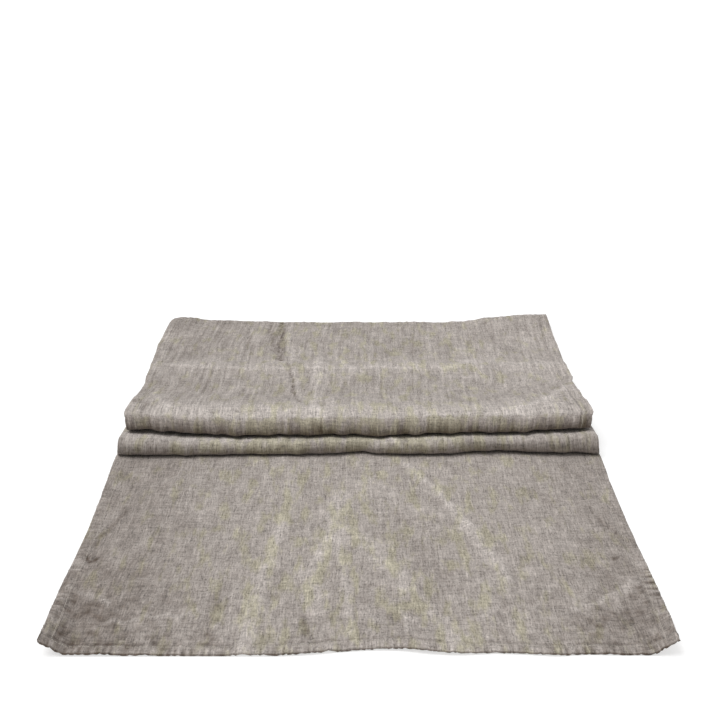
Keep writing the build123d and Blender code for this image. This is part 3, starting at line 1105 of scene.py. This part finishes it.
# %% Washed linen
def washed_linen(name, deep, bright, mauve, olive_green):
    """Plain-weave linen: uneven yarns both ways, with slubs, in a natural taupe."""
    material, tree = new_material(name)
    flat = add(tree, "UVMap", uv_map="flat_cloth").outputs["UV"]
    to_mm = {0: flat, "Scale": 1 / MM}
    place = add(tree, "VectorMath", to_mm, operation="SCALE").outputs[0]
    shade = yarn_shade(tree, place)

    dark_to_light = {"Value": shade, "From Min": -SHADE_REACH, "From Max": SHADE_REACH}
    blend = add(tree, "MapRange", dark_to_light).outputs[0]
    yarn_ends = {"Factor": blend, 6: linear(deep), 7: linear(bright)}
    yarn_colour = add(tree, "Mix", yarn_ends, data_type="RGBA").outputs[2]
    tint = olive_tint(tree, place, mauve, olive_green)
    dyed = {"Factor": 1.0, 6: yarn_colour, 7: tint}
    colour = add(tree, "Mix", dyed, data_type="RGBA", blend_type="MULTIPLY").outputs[2]
    # The colour made paler or darker by wear and by painted light and shade.
    faded = {0: colour, 1: wear_and_shade_fade(tree)}
    worn_and_shaded = add(tree, "VectorMath", faded, operation="MULTIPLY").outputs[0]

    finish = {"Base Color": worn_and_shaded, "Normal": weave_bump(tree, place, shade)}
    finish.update({"Roughness": 0.88, "Specular IOR Level": 0.25})
    finish.update({"Sheen Weight": 0.12, "Sheen Roughness": 0.5})
    fibre = add(tree, "BsdfPrincipled", finish)
    add(tree, "OutputMaterial", {"Surface": fibre.outputs[0]})
    return material


linen = washed_linen("washed_linen", "#6c6661", "#cbc2bb", "#fffdff", "#fdfdec")
panel.data.materials.append(linen)
for hem in hems.values():
    hem.data.materials.append(linen)
print("linen on", 1 + len(hems), "pieces")


# %% [markdown]
# ## Sewing thread
#
# The hem is sewn with spun cotton-covered thread, close to the linen's own colour but a little
# paler, since thread takes less dye. Its plies show as fine slanted bands, which a stretched wave
# gives. Thread is smoother than linen, so it is less rough and has a small sheen.

# %% Spun sewing thread
PLY_BANDS = 900.0  # a band each 0.35 mm, half of them in shade


def spun_thread(name, shade, light):
    """Twisted thread with its plies drawn as slanted bands."""
    material, tree = new_material(name)
    place = add(tree, "TexCoord").outputs["Object"]
    twist = {"Vector": place, "Scale": PLY_BANDS, "Distortion": 1.5}
    ply = add(tree, "TexWave", twist, bands_direction="DIAGONAL").outputs["Fac"]
    plies = {"Factor": ply, 6: linear(shade), 7: linear(light)}
    colour = add(tree, "Mix", plies, data_type="RGBA").outputs[2]
    raised = {"Strength": 0.4, "Distance": 0.05 * MM, "Height": ply}
    bump = add(tree, "Bump", raised).outputs[0]
    finish = {"Base Color": colour, "Normal": bump, "Roughness": 0.7, "Sheen Weight": 0.1}
    fibre = add(tree, "BsdfPrincipled", finish)
    add(tree, "OutputMaterial", {"Surface": fibre.outputs[0]})
    return material


thread_finish = spun_thread("spun_sewing_thread", "#a39c92", "#d2cbc1")
for thread in threads:
    thread.data.materials.append(thread_finish)
print("materials", [material.name for material in bpy.data.materials if material.users])

# %% [markdown]
# ## Floor and light
#
# A runner like this is shown on a white light table of opal acrylic, a matt sheet that glows a
# little, so shadows on it all but vanish. One broad soft lamp hangs nearly overhead, off to the
# left, and a white room fills the rest. A hard lamp would draw every yarn too sharply and leave
# black pleats.

# %% Floor
FLOOR = 60.0  # metres each way, so that it reaches the horizon
GLOW = 0.6
floor_mesh = bpy.data.meshes.new("floor")
floor_corners = [(-FLOOR, -FLOOR, 0), (FLOOR, -FLOOR, 0), (FLOOR, FLOOR, 0), (-FLOOR, FLOOR, 0)]
floor_mesh.from_pydata(floor_corners, [], [(0, 1, 2, 3)])
floor = put("floor", floor_mesh)
table_top = bpy.data.materials.new("white_light_table")
table_top.use_nodes = True
acrylic = table_top.node_tree.nodes["Principled BSDF"]
acrylic.inputs["Base Color"].default_value = linear("#bcbcbc")
acrylic.inputs["Roughness"].default_value = 0.9
acrylic.inputs["Emission Color"].default_value = (1, 1, 1, 1)
acrylic.inputs["Emission Strength"].default_value = GLOW
floor_mesh.materials.append(table_top)
print("floor", 2 * FLOOR, "m across")

# %% Light
HORIZON, OVERHEAD = 0.15, 0.80  # a white room is darker low down than at its ceiling
WHITE_SKIRTING = 0.03  # a thin white band where the table ends, so the room has no dark edge
LAMP = 1.6
LAMP_SPREAD = 40.0
LAMP_FORWARD, LAMP_LEFT = 2.0, 24.0  # degrees from straight above

room = bpy.data.worlds.new("white room")
room.use_nodes = True
walls = room.node_tree
direction = add(walls, "TexCoord").outputs["Generated"]
height_seen = add(walls, "SeparateXYZ", {0: direction}).outputs["Z"]
climb = {"Value": height_seen, "To Min": HORIZON, "To Max": OVERHEAD}
ceiling = add(walls, "MapRange", climb).outputs[0]
low_down = {0: height_seen, 1: WHITE_SKIRTING}
skirting = add(walls, "Math", low_down, operation="LESS_THAN").outputs[0]
brighter = {0: ceiling, 1: skirting}
brightness = add(walls, "Math", brighter, operation="MAXIMUM").outputs[0]
background = walls.nodes["Background"]
background.inputs["Color"].default_value = (1, 1, 1, 1)
walls.links.new(brightness, background.inputs["Strength"])
bpy.context.scene.world = room

lamp_data = bpy.data.lights.new("broad lamp", "SUN")
lamp_data.energy = LAMP
lamp_data.angle = math.radians(LAMP_SPREAD)
lamp = put("broad lamp", lamp_data)
lamp.rotation_euler = (math.radians(LAMP_FORWARD), math.radians(-LAMP_LEFT), 0)
bpy.context.scene.view_settings.view_transform = "Standard"
print("lamp", LAMP_LEFT, "degrees to the left")
